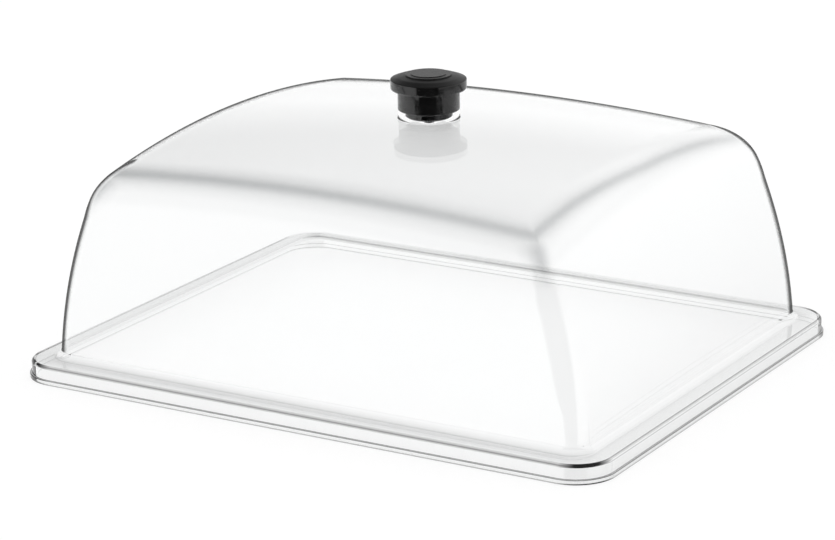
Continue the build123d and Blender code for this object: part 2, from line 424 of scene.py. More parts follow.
@dataclass(frozen=True)
class ClearEdge(ClearPlastic):
    """The plastic where it is thick, round the rim, which bends light as a lens does.

    Light that the plastic would guide along itself passes on, dimmed, and is lost in the corners,
    so the edges show grey, and dark there: painted shade, set by the mesh's stray values. It also
    carries painted grey shade and painted dark lines from the mesh.
    """

    clear: Colour = (0.93, 0.935, 0.935)
    clearer: Colour = (0.94, 0.945, 0.945)
    behind: Colour = (0.99, 0.992, 0.992)
    lamp_share: Colour = (0.5, 0.5, 0.5)
    front_rim: float = 2.5
    guided: Colour = (0.95, 0.95, 0.95)
    strayed: Colour = (0.01, 0.01, 0.01)
    all_mirrored: float = 0.98
    absorb_colour: Colour = (0.80, 0.81, 0.815)
    absorb_density: float = 20.0

    def material(self) -> Material:
        """Make the finish.

        Returns:
            Its material.
        """
        sheet, material = NodeSheet.of_material("clear_edge")
        depth = sheet.path("Transmission Depth")
        near = sheet.maths("LESS_THAN", depth, self.first_wall)
        front = sheet.maths("LESS_THAN", depth, self.front_rim)
        # Painted grey shade at the roots, painted dark lines along the rim, and painted dark lines on the
        # far roots shown only through another wall
        painted_shade = sheet.times(sheet.attribute("painted_shade"), near)
        cloud = sheet.blend(painted_shade, self.tint(sheet, near), self.painted_shade_grey)
        painted_far_line = sheet.times(sheet.attribute("painted_far_line"), sheet.remainder(near))
        line = sheet.maths("MAXIMUM", sheet.attribute("line"), painted_far_line)
        glass = sheet.add(
            "ShaderNodeBsdfPrincipled",
            Base_Color=sheet.blend(line, cloud, self.painted_dark),
            Roughness=0.0,
            IOR=self.ior,
            Transmission_Weight=1.0,
        )
        # Painted shade: where the plastic would mirror all of the light it passes it on tinted grey, and
        # black where the stray values say it is lost
        lost = sheet.times(sheet.attribute("stray"), front)
        dimmed = sheet.blend(lost, self.guided, self.strayed)
        passed = sheet.add("ShaderNodeBsdfTransparent", Color=dimmed)
        mirror = sheet.add("ShaderNodeFresnel", IOR=self.ior).outputs["Fac"]
        shell = sheet.shaders(sheet.maths("GREATER_THAN", mirror, self.all_mirrored), glass, passed)
        output = sheet.show_clear(shell, self.lamp_share)
        volume = sheet.add(
            "ShaderNodeVolumeAbsorption", Color=self.absorb_colour, Density=self.absorb_density
        )
        sheet.feed(volume.outputs["Volume"], output.inputs["Volume"])
        return material


@dataclass(frozen=True)
class Finish:
    """A finish whose colour, gloss and relief vary a little over the surface."""

    name: str
    dark: Colour
    light: Colour
    roughness: Pair
    scale: float
    relief: float = 0.0
    relief_scale: float = 4000.0
    relief_detail: float = 2.0
    metallic: float = 0.0
    ior: float = 1.5
    clearness: float = 0.0

    def material(self) -> Material:
        """Make the finish.

        Returns:
            Its material.
        """
        sheet, material = NodeSheet.of_material(self.name)
        mottle = sheet.noise(self.scale)
        shader = sheet.add(
            "ShaderNodeBsdfPrincipled",
            Base_Color=sheet.blend(mottle, self.dark, self.light),
            Roughness=sheet.ranged(mottle, (0.0, 1.0), self.roughness),
            Metallic=self.metallic,
            IOR=self.ior,
            Transmission_Weight=self.clearness,
        )
        if self.relief > 0.0:
            grain = sheet.noise(self.relief_scale, self.relief_detail)
            bump = sheet.add("ShaderNodeBump", Height=grain, Distance=self.relief)
            sheet.feed(bump.outputs["Normal"], shader.inputs["Normal"])
        sheet.show(shader)
        return material


BLACK_GLOSS = Finish(
    "black_knob", (0.004, 0.004, 0.004), (0.007, 0.007, 0.007), (0.04, 0.07), 120.0, ior=1.6
)
BLACK_SATIN = Finish(
    "black_shoulder", (0.004, 0.004, 0.004), (0.008, 0.008, 0.008), (0.34, 0.44), 300.0, ior=1.3
)
BLACK_GRAIN = Finish(
    "black_cap", (0.007, 0.007, 0.007), (0.016, 0.016, 0.016), (0.30, 0.42), 900.0, relief=0.00004, ior=1.35
)
BRASS = Finish("brass_insert", (0.60, 0.42, 0.16), (0.72, 0.54, 0.24), (0.22, 0.34), 400.0, metallic=1.0)
STEEL = Finish("steel_screw", (0.50, 0.50, 0.51), (0.62, 0.62, 0.63), (0.22, 0.36), 500.0, metallic=1.0)
SILICONE = Finish(
    "clear_gasket", (0.90, 0.91, 0.91), (0.96, 0.97, 0.97), (0.18, 0.30), 700.0, ior=1.41, clearness=0.8
)


@dataclass
class CoverForm:
    """Sizes of the clear moulding in millimetres, which repeat the construction's, and its mesh steps.

    The insets say how far the walls lean in at half height and at the roof.
    """

    length: float
    width: float
    wall: float = 2.0
    lip_projection: float = 1.1
    lip_height: float = 2.5
    lip_edge: float = 0.4
    rim_height: float = 9.7
    rim_corner: float = 21.0
    rim_shoulder: float = 1.0
    flange_width: float = 13.4
    flange_edge: float = 1.7
    flange_root: float = 3.4
    end_insets: Pair = (7.0, 30.4)
    side_insets: Pair = (2.8, 5.4)
    corner_radius: float = 10.5
    crease_radius: float = 8.5
    crease_heights: Pair = (80.0, 112.0)
    roof_height: float = 126.8
    crown_long: float = 1360.0
    crown_wide: float = 570.0
    fold_radius: float = 28.5
    collar_radius: float = 15.9
    collar_height: float = 4.0
    collar_edge: float = 0.5
    socket_radius: float = 12.45
    socket_depth: float = 3.7
    hole_radius: float = 1.8
    pad_radius: float = 5.5
    pad_depth: float = 0.6
    countersink_depth: float = 1.8
    small_edge: float = 0.25
    sink_edge: float = 0.1
    fold_start: float = 80.0
    fold_insets: Pair = (52.0, 33.0)
    fold_inner_corner: float = 8.0
    search_length: float = 100.0
    corner_steps: int = 40
    long_steps: int = 44
    short_steps: int = 36
    wall_steps: int = 18
    fold_steps: int = 50
    roof_steps: int = 20
    arc_steps: int = 8
    root_steps: int = 16
    collar_steps: int = 4
    project_steps: int = 12
    search_steps: int = 30

    def foot(self) -> Pair:
        """Half length and half width of the outer walls where they meet the flange."""
        margin = self.lip_projection + self.flange_width
        return self.length / 2 - margin, self.width / 2 - margin

    def outline(self, half_x: float, half_y: float, corner: float) -> tuple[Array, Array]:
        """Trace a rectangle with rounded corners.

        Args:
            half_x: Half of its length.
            half_y: Half of its width.
            corner: Its corner radius.

        Returns:
            Its points and its outward normals, anticlockwise from the start of the +X +Y corner.
        """
        points = []
        normals = []
        centres = np.array([half_x - corner, half_y - corner]) * [(1, 1), (-1, 1), (-1, -1), (1, -1)]
        for quarter, (centre, next_centre) in enumerate(zip(centres, np.roll(centres, -1, axis=0))):
            angles = math.pi / 2 * (quarter + np.arange(self.corner_steps + 1) / self.corner_steps)
            facing = headings(angles)
            arc = centre + corner * facing
            steps = self.short_steps if quarter % 2 else self.long_steps
            share = (np.arange(1, steps) / steps)[:, None]
            points += [arc, arc[-1] * (1 - share) + (next_centre + corner * facing[-1]) * share]
            normals += [facing, np.repeat(facing[-1:], steps - 1, axis=0)]
        return np.concatenate(points), np.concatenate(normals)

    def swept_rings(self, section: Line, half_x: float, half_y: float, corner: float) -> list[Line]:
        """Sweep a section round a rectangle with rounded corners.

        Args:
            section: Points as (distance outside the rectangle, height).
            half_x: Half of the rectangle's length.
            half_y: Half of its width.
            corner: Its corner radius.

        Returns:
            One ring for each point of the section.
        """
        rings = []
        for (out, height), (level, up) in zip(section.points, section.normals):
            flat, facing = self.outline(half_x + out, half_y + out, corner + out)
            rings.append(Line(raised(flat, height), raised(facing * level, up)))
        return rings


@dataclass
class DomeSkin(CoverForm):
    """One face of the dome's roof, walls and folds: the outer one, or one that lies deeper."""

    inward: float = 0.0

    def side(self) -> float:
        """1 on the outer face, and -1 on the inner one, whose plastic lies outside it."""
        return -1.0 if self.inward > 0.0 else 1.0

    def inset(self, insets: Pair, height: Array | float) -> tuple[Array | float, Array | float]:
        """How a wall leans in.

        Args:
            insets: How far it stands in from its foot at half height and at the roof.
            height: The height to look at.

        Returns:
            How far it stands in there, and how fast it goes in.
        """
        rise = self.roof_height - self.rim_height
        share = (height - self.rim_height) / rise
        middle, top = insets
        first = 4 * middle - top
        return share * (first + (top - first) * share), (first + 2 * (top - first) * share) / rise

    def level_half(self, height: float) -> Pair:
        """Half length and half width of the outer walls at a height, along the middle of each."""
        ins = (self.inset(insets, height)[0] for insets in (self.end_insets, self.side_insets))
        return tuple(half - inset for half, inset in zip(self.foot(), ins))

    def wall_reach(self, p: Array, walls: Walls) -> Reach:
        """Reach of a pair of outer walls, which arch over as the roof does.

        Args:
            p: The points.
            walls: The pair.

        Returns:
            Their reach.
        """
        insets = (self.end_insets, self.side_insets)[walls]
        crown = (self.crown_wide, self.crown_long)[walls]
        other = 1 - walls
        above = p[..., 2] - self.roof_height + crown
        along = np.hypot(p[..., other], above)
        inset, steep = self.inset(insets, along + self.roof_height - crown)
        way = np.empty(p.shape)
        way[..., walls] = np.sign(p[..., walls])
        way[..., other] = steep * p[..., other] / along
        way[..., 2] = steep * above / along
        length = np.hypot(1, steep)
        beyond = np.abs(p[..., walls]) - self.foot()[walls] + inset
        return Reach(beyond / length, way / length[..., None])

    def roof_reach(self, p: Array) -> Reach:
        """Reach of the outer roof, which is arched along and across.

        Args:
            p: The points.

        Returns:
            Its reach.
        """
        x, y = p[..., 0], p[..., 1]
        above = p[..., 2] - self.roof_height + self.crown_wide
        across = np.hypot(y, above)
        arm = across - self.crown_wide + self.crown_long
        whole = np.hypot(x, arm)
        way = np.stack([x / whole, arm / whole * y / across, arm / whole * above / across], axis=-1)
        return Reach(whole - self.crown_long, way)

    def fold_reach(self, p: Array, walls: Walls) -> Reach:
        """Reach of this face's roof, folded down to one pair of its walls."""
        upright = self.wall_reach(p, walls).sunk(self.inward)
        return upright.rounded(self.roof_reach(p).sunk(self.inward), self.fold_radius - self.inward)

    def folds(self, p: Array) -> list[Reach]:
        """Reach of this face's roof, folded down to the ends and to the sides."""
        return [self.fold_reach(p, walls) for walls in Walls]

    def reach(self, p: Array) -> Reach:
        """Reach of this whole face, whose corners sharpen from the walls up into creases.

        Args:
            p: The points.

        Returns:
            The reach.
        """
        share = ramp(p[..., 2], *self.crease_heights)
        share = share * share * (3 - 2 * share)
        radius = self.corner_radius + (self.crease_radius - self.corner_radius) * share
        ends, sides = self.folds(p)
        return sides.rounded(ends, radius - self.inward)

    def ring(self, points: Array) -> Line:
        """Ring of points on this face, with the normals that lead out of the plastic."""
        return Line(points, self.reach(points).way * self.side())

    def level_ring(self, height: float) -> Array:
        """Points round this face of the walls.

        Args:
            height: Their height.

        Returns:
            The points.
        """
        half_x, half_y = self.level_half(height)
        flat, facing = self.outline(
            half_x - self.inward, half_y - self.inward, self.corner_radius - self.inward
        )
        points = raised(flat, height)
        for _ in range(self.project_steps):
            points[:, :2] -= facing * self.reach(points).distance[:, None]
        return points

    def wall_rings(self) -> list[Line]:
        """Rings up this face of the wall.

        Returns:
            The rings, from the root fillet to the start of the fold.
        """
        low = self.rim_height + self.flange_root
        heights = low + (self.fold_start - low) * np.arange(self.wall_steps) / self.wall_steps
        return [self.ring(self.level_ring(height)) for height in heights]

    def fold_rings(self) -> list[Line]:
        """Rings over the fold, found along rays that fan out from a ring inside it.

        Returns:
            The rings, from the upright wall to the roof.
        """
        half_x, half_y = self.level_half(self.fold_start)
        inside, _ = self.outline(
            half_x - self.fold_insets[0], half_y - self.fold_insets[1], self.fold_inner_corner
        )
        level = self.level_ring(self.fold_start)[:, :2] - inside
        level /= np.linalg.norm(level, axis=1)[:, None]
        start = raised(inside, self.fold_start)
        angles = np.linspace(0, math.pi / 2, self.fold_steps + 1)[:, None, None]
        upright = np.broadcast_to(np.sin(angles), (len(angles), len(level), 1))
        ways = np.concatenate([level * np.cos(angles), upright], axis=2)
        near = np.zeros(ways.shape[:2])
        far = np.full(ways.shape[:2], self.search_length)
        for _ in range(self.search_steps):
            middle = (near + far) / 2
            out = self.reach(start + ways * middle[..., None]).distance > 0
            far = np.where(out, middle, far)
            near = np.where(out, near, middle)
        return [self.ring(points) for points in start + ways * near[..., None]]

    def roof_rings(self, edge: Line, radius: float) -> list[Line]:
        """Rings over this face of the roof, from the fold in to a circle round the knob's axis.

        Args:
            edge: The fold's last ring.
            radius: The circle's radius.

        Returns:
            The rings, from the outermost.
        """
        angles = np.arctan2(edge.points[:, 1], edge.points[:, 0])
        circle = radius * headings(angles)
        rings = []
        for share in np.arange(1, self.roof_steps + 1) / self.roof_steps:
            x, y = (edge.points[:, :2] * (1 - share) + circle * share).T
            arch = np.sqrt((self.crown_long - self.inward) ** 2 - x**2)
            around = arch + self.crown_wide - self.crown_long
            height = np.sqrt(around**2 - y**2) + self.roof_height - self.crown_wide
            rings.append(self.ring(np.column_stack([x, y, height])))
        return rings

    def root_rings(self) -> list[Line]:
        """Rings round this face of the fillet between wall and flange.

        Returns:
            The rings, from the wall out to the flange.
        """
        radius = self.flange_root + self.inward
        angles = math.pi / 2 * np.arange(1, self.root_steps + 1) / self.root_steps
        facing = headings(angles)
        middle = np.array([radius - self.inward, self.rim_height - self.inward + radius])
        section = Line(middle - radius * facing, facing * self.side())
        return self.swept_rings(section, *self.foot(), self.corner_radius)


@dataclass
class ShellShade:
    """Where a face of the dome gets painted grey shade, and where it gets a painted dark outline.

    Lengths are in millimetres and angles in degrees. The edges are facings, 0 head on and 1 edge on:
    where the painted darkening starts, and where it is full. Two diagonal corners have wider painted dark
    edges.
    """

    skin: DomeSkin
    painted_shade_tilt: float = 54.6
    painted_shade_widths: Pair = (4.6, 5.7)
    painted_shade_end: float = 0.84
    painted_shade_lean: float = 0.10
    end_lift: float = 7.5
    lift_fade: Pair = (120.0, 55.0)
    painted_crease_shade: float = 0.72
    crease_place: float = -1.6
    crease_width: float = 3.8
    crease_turns: Pair = (25.0, 50.0)
    crease_fade: Pair = (86.0, 98.0)
    low_tilts: Pair = (34.0, 40.0)
    high_tilts: Pair = (82.0, 76.0)
    end_fade: Pair = (20.0, 12.0)
    end_stop: Pair = (80.0, 40.0)
    side_fade: Pair = (38.0, 22.0)
    corner_margin: float = 0.1
    wide_corner: float = 16.0
    wide_turns: Pair = (6.0, 12.0)
    slim_turns: Pair = (14.0, 28.0)
    corner_edge: Pair = (0.33, 0.60)
    fold_edge: Pair = (0.72, 0.88)
    flat_edge: Pair = (0.88, 0.95)

    def corner(self, p: Array) -> tuple[Array, Array]:
        """How far round the corner between an end and a side points lie.

        Args:
            p: The points.

        Returns:
            The share of the corner's turn, 0 on the end and 1 on the side, and the turn in degrees.
        """
        ends, sides = self.skin.folds(p)
        turn, part = (
            np.degrees(np.arccos(np.clip(np.sum(ends.way * other.way, axis=-1), -1, 1)))
            for other in (sides, self.skin.reach(p))
        )
        return part / np.maximum(turn, SAME_PLACE), turn

    def from_crease(self, p: Array) -> Array:
        """How far points lie, on the level, from the fold that meets theirs at the corner.

        Args:
            p: The points.

        Returns:
            The distances.
        """
        level = np.abs(self.skin.roof_reach(p).way)
        gaps = []
        for walls, fold in zip(Walls, self.skin.folds(p)):
            spare = (np.abs(fold.way[..., walls]) - level[..., walls]) / (1 - level[..., walls])
            gaps.append(-fold.distance / np.maximum(spare, SAME_PLACE))
        return np.maximum(*gaps)

    def painted_shade(self, p: Array) -> Array:
        """How much painted grey shade points get: along the folds and down the creases.

        Args:
            p: The points.

        Returns:
            The values, 0 to 1.
        """
        ends, sides = self.skin.folds(p)
        on_side = sides.distance > ends.distance
        tilt = tilt_of(np.where(on_side[..., None], sides.way, ends.way))
        half_x, half_y = self.skin.foot()
        lean = 1 + self.painted_shade_lean * np.sign(p[..., 1]) * p[..., 0] / half_x
        strength = np.where(on_side, lean / (1 + self.painted_shade_lean), self.painted_shade_end)
        lift = self.end_lift * ramp(half_y + np.sign(p[..., 0]) * p[..., 1], *self.lift_fade)
        middle = self.painted_shade_tilt + np.where(on_side, 0, lift)
        end_width, side_width = self.painted_shade_widths
        ridge = strength / np.cosh((tilt - middle) / np.where(on_side, side_width, end_width))
        aside = ends.distance - sides.distance - self.crease_place
        _, turn = self.corner(p)
        crease = self.painted_crease_shade * np.exp(-((aside / self.crease_width) ** 2))
        crease *= ramp(p[..., 2], *self.crease_fade) * ramp(turn, *self.crease_turns)
        return np.maximum(ridge, crease)

    def dark_limits(self, p: Array) -> tuple[Array, Array]:
        """Facings at which a painted dark outline starts on points, and at which it is full.

        Args:
            p: The points.

        Returns:
            The two facings.
        """
        tilt = tilt_of(self.skin.reach(p).way)
        end, side = (
            ramp(-self.skin.wall_reach(p, walls).distance, *fade)
            for walls, fade in zip(Walls, (self.end_fade, self.side_fade))
        )
        end *= ramp(np.sign(p[..., 0]) * p[..., 1], *self.end_stop)
        folded = np.maximum.reduce([ramp(tilt, *self.high_tilts), end, side])
        folded *= ramp(tilt, *self.low_tilts)
        share, turn = self.corner(p)
        wide = p[..., 0] * p[..., 1] > 0
        aside = self.from_crease(p) - self.skin.corner_radius * np.tan(np.radians(turn) / 2)
        beside = np.where(wide, ramp(aside, self.wide_corner, 0) ** 2, 0)
        cornered = np.maximum(ramp(np.minimum(share, 1 - share), 0, self.corner_margin), beside)
        cornered *= np.where(wide, ramp(turn, *self.wide_turns), ramp(turn, *self.slim_turns))
        start, full = (
            (flat + (fold - flat) * folded) * (1 - cornered) + corner * cornered
            for flat, fold, corner in zip(self.flat_edge, self.fold_edge, self.corner_edge)
        )
        return start, full

    def marks(self, rings: list[Line]) -> dict[str, Array]:
        """Painted shade values on rings of the face that its finish reads. Only the outer face gets the
        painted dark outline.

        Args:
            rings: The rings.

        Returns:
            A table for each name, with a row for each ring.
        """
        p = np.array([ring.points for ring in rings])
        marks = {"painted_shade": self.painted_shade(p)}
        if self.skin.inward == 0.0:
            marks["dark_from"], marks["dark_full"] = self.dark_limits(p)
        return marks


@dataclass
class RimShade:
    """Where the rim gets painted grey shade and painted dark lines, and is painted dark where it loses
    the light that it guides.

    The roots have soft bands of painted shade across their fillets, given as (strength, place, spread),
    and a plain one, given as (strength, place, half width). Their places run from 0 to 1. The edge pair
    are painted dark lines on the second, third and last but one ring of the flange's edge.
    """

    root_painted_shade: Triple = (0.4, 0.75, 0.18)
    root_line: Triple = (0.6, 0.88, 0.07)
    root_painted_far_line: Triple = (0.96, 0.80, 0.06)
    painted_far_line_band: Triple = (0.4, 0.66, 0.12)
    end_line: float = 0.1
    edge_line: float = 0.6
    edge_line_half: float = 0.25
    edge_pair: Triple = (0.95, 0.5, 0.8)
    lip_top: float = 0.6
    inner_line: float = 0.15
    guide_straight: float = 0.25
    guide_ease: float = 25.0

    def marks(self, facing: Array, roots: int, steps: int) -> dict[str, Array]:
        """Painted shade values on the rings of the rim that its finish reads.

        Args:
            facing: The level normals round a ring.
            roots: Rings in each root fillet, of which the first lies outside and the last inside.
            steps: Pieces in each of the rounded edges between the roots.

        Returns:
            A table for each name, with a row for each ring.
        """
        ends, sides = np.abs(facing.T)
        sided = self.end_line + (1 - self.end_line) * sides
        across = np.arange(1, roots + 1) / (roots + 1)
        painted_shade_grey, painted_dark, painted_far_line = (
            strength * np.exp(-(((across - place) / spread) ** 2))
            for strength, place, spread in (self.root_painted_shade, self.root_line, self.root_painted_far_line)
        )
        strength, place, half = self.painted_far_line_band
        painted_far_line = np.maximum(painted_far_line, np.where(np.abs(across - place) < half, strength, 0))
        turned = np.linspace(0, 1, steps + 1)
        edge = np.maximum(1 - np.abs(turned - self.edge_line) / self.edge_line_half, 0)
        pair = np.zeros(len(turned))
        pair[[1, 2, -2]] = self.edge_pair
        arc = np.sin(math.pi * turned)
        lip_root = np.maximum(arc, self.lip_top * turned)
        inner = arc * self.inner_line
        lines = np.concatenate([lip_root, lip_root[::-1], arc, inner, inner])
        line = np.concatenate(
            [
                np.outer(painted_dark, sided),
                np.zeros((1, len(sides))),
                np.outer(edge, sides) + np.outer(pair, ends),
                np.outer(lines, np.ones(len(sides))),
                np.zeros((roots + 1, len(sides))),
            ]
        )
        painted_shade, inside, stray = np.zeros((3, *line.shape))
        painted_shade[:roots] = np.outer(painted_shade_grey, sided)
        inside[-roots:] = np.outer(painted_far_line, sided)
        turn = np.degrees(np.arctan2(np.minimum(ends, sides), np.maximum(ends, sides)))
        corner = ramp(turn, 0, self.guide_ease)
        stray[roots:-roots] = self.guide_straight + (1 - self.guide_straight) * corner
        # The fourth rounded edge is the lip's lower one, which loses all of the light: painted fully dark
        bottom = roots + 1 + 3 * len(turned)
        stray[bottom : bottom + len(turned)] = 1
        return {"painted_shade": painted_shade, "line": line, "stray": stray, "painted_far_line": inside}


@dataclass
class CollarShade:
    """Where the knob's collar gets a painted dark outline, which is at its foot, given as facings."""

    foot_edge: Pair = (0.12, 0.25)
    plain_edge: Pair = (1.0, 2.0)

    def marks(self, count: int) -> dict[str, Array]:
        """Painted shade values on a count of rings of the collar, of which the last is its foot."""
        limits = np.array([self.plain_edge] * (count - 1) + [self.foot_edge])
        return {"stray": np.ones((count, 1)), "dark_from": limits[:, :1], "dark_full": limits[:, 1:]}


@dataclass
class CoverDome(CoverForm):
    """The clear moulding: roof, bowed walls, flange, skirt, lip and the knob's collar."""

    def rim_rings(self) -> list[Line]:
        """Rings round the flange's edge, skirt and lip.

        Returns:
            The rings, from the flange's top to its underside.
        """
        top, under = self.rim_height, self.rim_height - self.wall
        lip = self.lip_projection
        shoulder = self.flange_edge + self.rim_shoulder
        line = rounded_line(
            [
                (-shoulder, top, 0.0),
                (0.0, top, self.flange_edge),
                (0.0, self.lip_height, self.small_edge),
                (lip, self.lip_height, self.lip_edge),
                (lip, 0.0, self.lip_edge),
                (-self.wall, 0.0, self.small_edge),
                (-self.wall, under, self.small_edge),
                (-self.wall - shoulder, under, 0.0),
            ],
            self.arc_steps,
        )
        return self.swept_rings(line, self.length / 2 - lip, self.width / 2 - lip, self.rim_corner - lip)

    def collar_rings(self, edge: Line) -> list[Line]:
        """Rings through the collar, from the pad under the roof up to the collar's foot outside.

        Args:
            edge: The ring whose points set the angles.

        Returns:
            The rings.
        """
        pad = self.roof_height - self.wall - self.pad_depth
        top = self.roof_height + self.collar_height
        floor = top - self.socket_depth
        line = rounded_line(
            [
                (self.pad_radius, pad + self.pad_depth / 2, 0.0),
                (self.pad_radius, pad, self.small_edge),
                (self.hole_radius + self.countersink_depth, pad, self.sink_edge),
                (self.hole_radius, pad + self.countersink_depth, self.sink_edge),
                (self.hole_radius, floor, self.small_edge),
                (self.socket_radius, floor, self.small_edge),
                (self.socket_radius, top, self.small_edge),
                (self.collar_radius, top, self.collar_edge),
                (self.collar_radius, self.roof_height + self.small_edge, 0.0),
            ],
            self.collar_steps,
        )
        return turned_rings(line, np.arctan2(edge.points[:, 1], edge.points[:, 0]))

    def build(self) -> Piece:
        """Skin the whole moulding, mark it with painted shade for its finishes and dress it.

        Returns:
            The clear piece.
        """
        outer, inner = (DomeSkin(**vars(self), inward=depth) for depth in (0.0, self.wall))
        outer_fold, inner_fold = outer.fold_rings(), inner.fold_rings()
        collar = self.collar_rings(outer_fold[-1])
        upper = [
            *outer.roof_rings(outer_fold[-1], self.collar_radius + self.small_edge)[::-1],
            *outer_fold[::-1],
            *outer.wall_rings()[::-1],
        ]
        rim = [*outer.root_rings(), *self.rim_rings(), *inner.root_rings()[::-1]]
        under = [
            *inner.wall_rings(),
            *inner_fold,
            *inner.roof_rings(inner_fold[-1], self.pad_radius + self.small_edge),
        ]
        groups = (collar, upper, rim, under)
        piece = skinned("clear_cover", sum(groups, []), closed=True)
        _, facing = self.outline(*self.foot(), self.corner_radius)
        marks = (
            CollarShade().marks(len(collar)),
            ShellShade(outer).marks(upper),
            RimShade().marks(facing, self.root_steps, self.arc_steps),
            ShellShade(inner).marks(under),
        )
        # Marks where a group has none: no painted shade, no painted dark lines and no painted dark outline
        plain = {"painted_shade": 0.0, "line": 0.0, "stray": 0.0, "painted_far_line": 0.0, "dark_from": 1.0, "dark_full": 2.0}
        for name, value in plain.items():
            tables = [
                np.broadcast_to(mark.get(name, value), (len(group), len(facing))).ravel()
                for group, mark in zip(groups, marks)
            ]
            layer = piece.data.attributes.new(name, "FLOAT", "POINT")
            layer.data.foreach_set("value", np.concatenate(tables).astype(np.float32))
        piece.data.materials.append(ClearShell().material())
        piece.data.materials.append(ClearEdge().material())
        thick = np.concatenate([np.full(len(group), int(group is rim)) for group in groups])
        kinds = np.repeat(np.minimum(thick, np.roll(thick, -1)), len(facing))
        piece.data.polygons.foreach_set("material_index", kinds)
        return piece


@dataclass
class Knob:
    """The black knob: neck, drum, disc and the cap let into its top. Sizes in millimetres."""

    drum_bottom: float = 131.1
    neck_radius: float = 12.15
    neck_length: float = 3.4
    neck_edge: float = 0.3
    drum_radius: float = 15.9
    drum_height: float = 10.5
    drum_edge: float = 0.6
    disc_radius: float = 19.5
    disc_height: float = 5.3
    disc_under: float = 1.2
    disc_edge: float = 0.5
    shoulder_rise: float = 2.0
    shoulder_bulge: float = 0.35
    shoulder_radius: float = 9.0
    cap_radius: float = 11.8
    cap_gap: float = 0.04
    cap_thickness: float = 1.6
    cap_step: float = 0.6
    cap_edge: float = 0.3
    plug_radius: float = 9.46
    plug_wall: float = 1.6
    plug_depth: float = 3.0
    core_radius: float = 9.5
    core_web: float = 4.0
    insert_radius: float = 2.34
    insert_length: float = 6.0
    tip_radius: float = 1.8
    tip_hole_top: float = 134.9
    medallion_radius: float = 9.2
    medallion_rise: float = 0.35
    medallion_edge: float = 0.15
    root_edge: float = 0.2
    sharp_edge: float = 0.1
    tiny_edge: float = 0.05
    satin_from: float = 0.5
    turn_steps: int = 160
    arc_steps: int = 6

    def disc_top(self) -> float:
        """Height of the disc's top edge."""
        return self.drum_bottom + self.drum_height + self.disc_height

    def cap_top(self) -> float:
        """Height of the cap's flat rim."""
        return self.disc_top() + self.shoulder_rise + self.cap_step

    def turned(self, name: str, corners: list[Triple]) -> Piece:
        """Turn a bent line with rounded corners into a piece."""
        angles = np.arange(self.turn_steps) * 2 * math.pi / self.turn_steps
        return skinned(name, turned_rings(rounded_line(corners, self.arc_steps), angles), closed=False)

    def body(self) -> Piece:
        """Turn the knob's body, hollow for the cap's plug and for the insert.

        Returns:
            The knob without its cap.
        """
        neck = self.drum_bottom - self.neck_length
        under = self.drum_bottom + self.drum_height
        disc = self.disc_top()
        shoulder = disc + self.shoulder_rise
        seat = self.cap_top() - self.cap_thickness
        insert_top = neck + self.insert_length
        core_floor = self.tip_hole_top + self.core_web
        recess = self.cap_radius + self.cap_gap
        middle = (self.disc_radius + self.cap_radius) / 2
        bulge = (disc + shoulder) / 2 + self.shoulder_bulge
        piece = self.turned(
            "black_knob",
            [
                (0.0, core_floor, 0.0),
                (self.core_radius, core_floor, self.neck_edge),
                (self.core_radius, seat, self.sharp_edge),
                (recess, seat, self.sharp_edge),
                (recess, shoulder, self.root_edge),
                (middle, bulge, self.shoulder_radius),
                (self.disc_radius, disc, self.disc_edge),
                (self.disc_radius, under, self.disc_under),
                (self.drum_radius, under, self.root_edge),
                (self.drum_radius, self.drum_bottom, self.drum_edge),
                (self.neck_radius, self.drum_bottom, self.root_edge),
                (self.neck_radius, neck, self.neck_edge),
                (self.insert_radius, neck, self.sharp_edge),
                (self.insert_radius, insert_top, self.tiny_edge),
                (self.tip_radius, insert_top, self.tiny_edge),
                (self.tip_radius, self.tip_hole_top, self.sharp_edge),
                (0.0, self.tip_hole_top, 0.0),
            ],
        )
        piece.data.materials.append(BLACK_GLOSS.material())
        piece.data.materials.append(BLACK_SATIN.material())
        for face in piece.data.polygons:
            face.material_index = int(face.normal.z > self.satin_from)
        return piece

    def cap(self) -> Piece:
        """Turn the cap with its stepped rim, raised medallion and hollow plug.

        Returns:
            The cap.
        """
        top = self.cap_top()
        seat = top - self.cap_thickness
        crown = top + self.medallion_rise
        hollow = self.plug_radius - self.plug_wall
        piece = self.turned(
            "knob_medallion",
            [
                (0.0, crown, 0.0),
                (self.medallion_radius, crown, self.medallion_edge),
                (self.medallion_radius, top, self.sharp_edge),
                (self.cap_radius, top, self.cap_edge),
                (self.cap_radius, seat, self.tiny_edge),
                (self.plug_radius, seat, self.tiny_edge),
                (self.plug_radius, seat - self.plug_depth, self.sharp_edge),
                (hollow, seat - self.plug_depth, self.sharp_edge),
                (hollow, seat, self.sharp_edge),
                (0.0, seat, 0.0),
            ],
        )
        dress(piece, BLACK_GRAIN.material())
        return piece


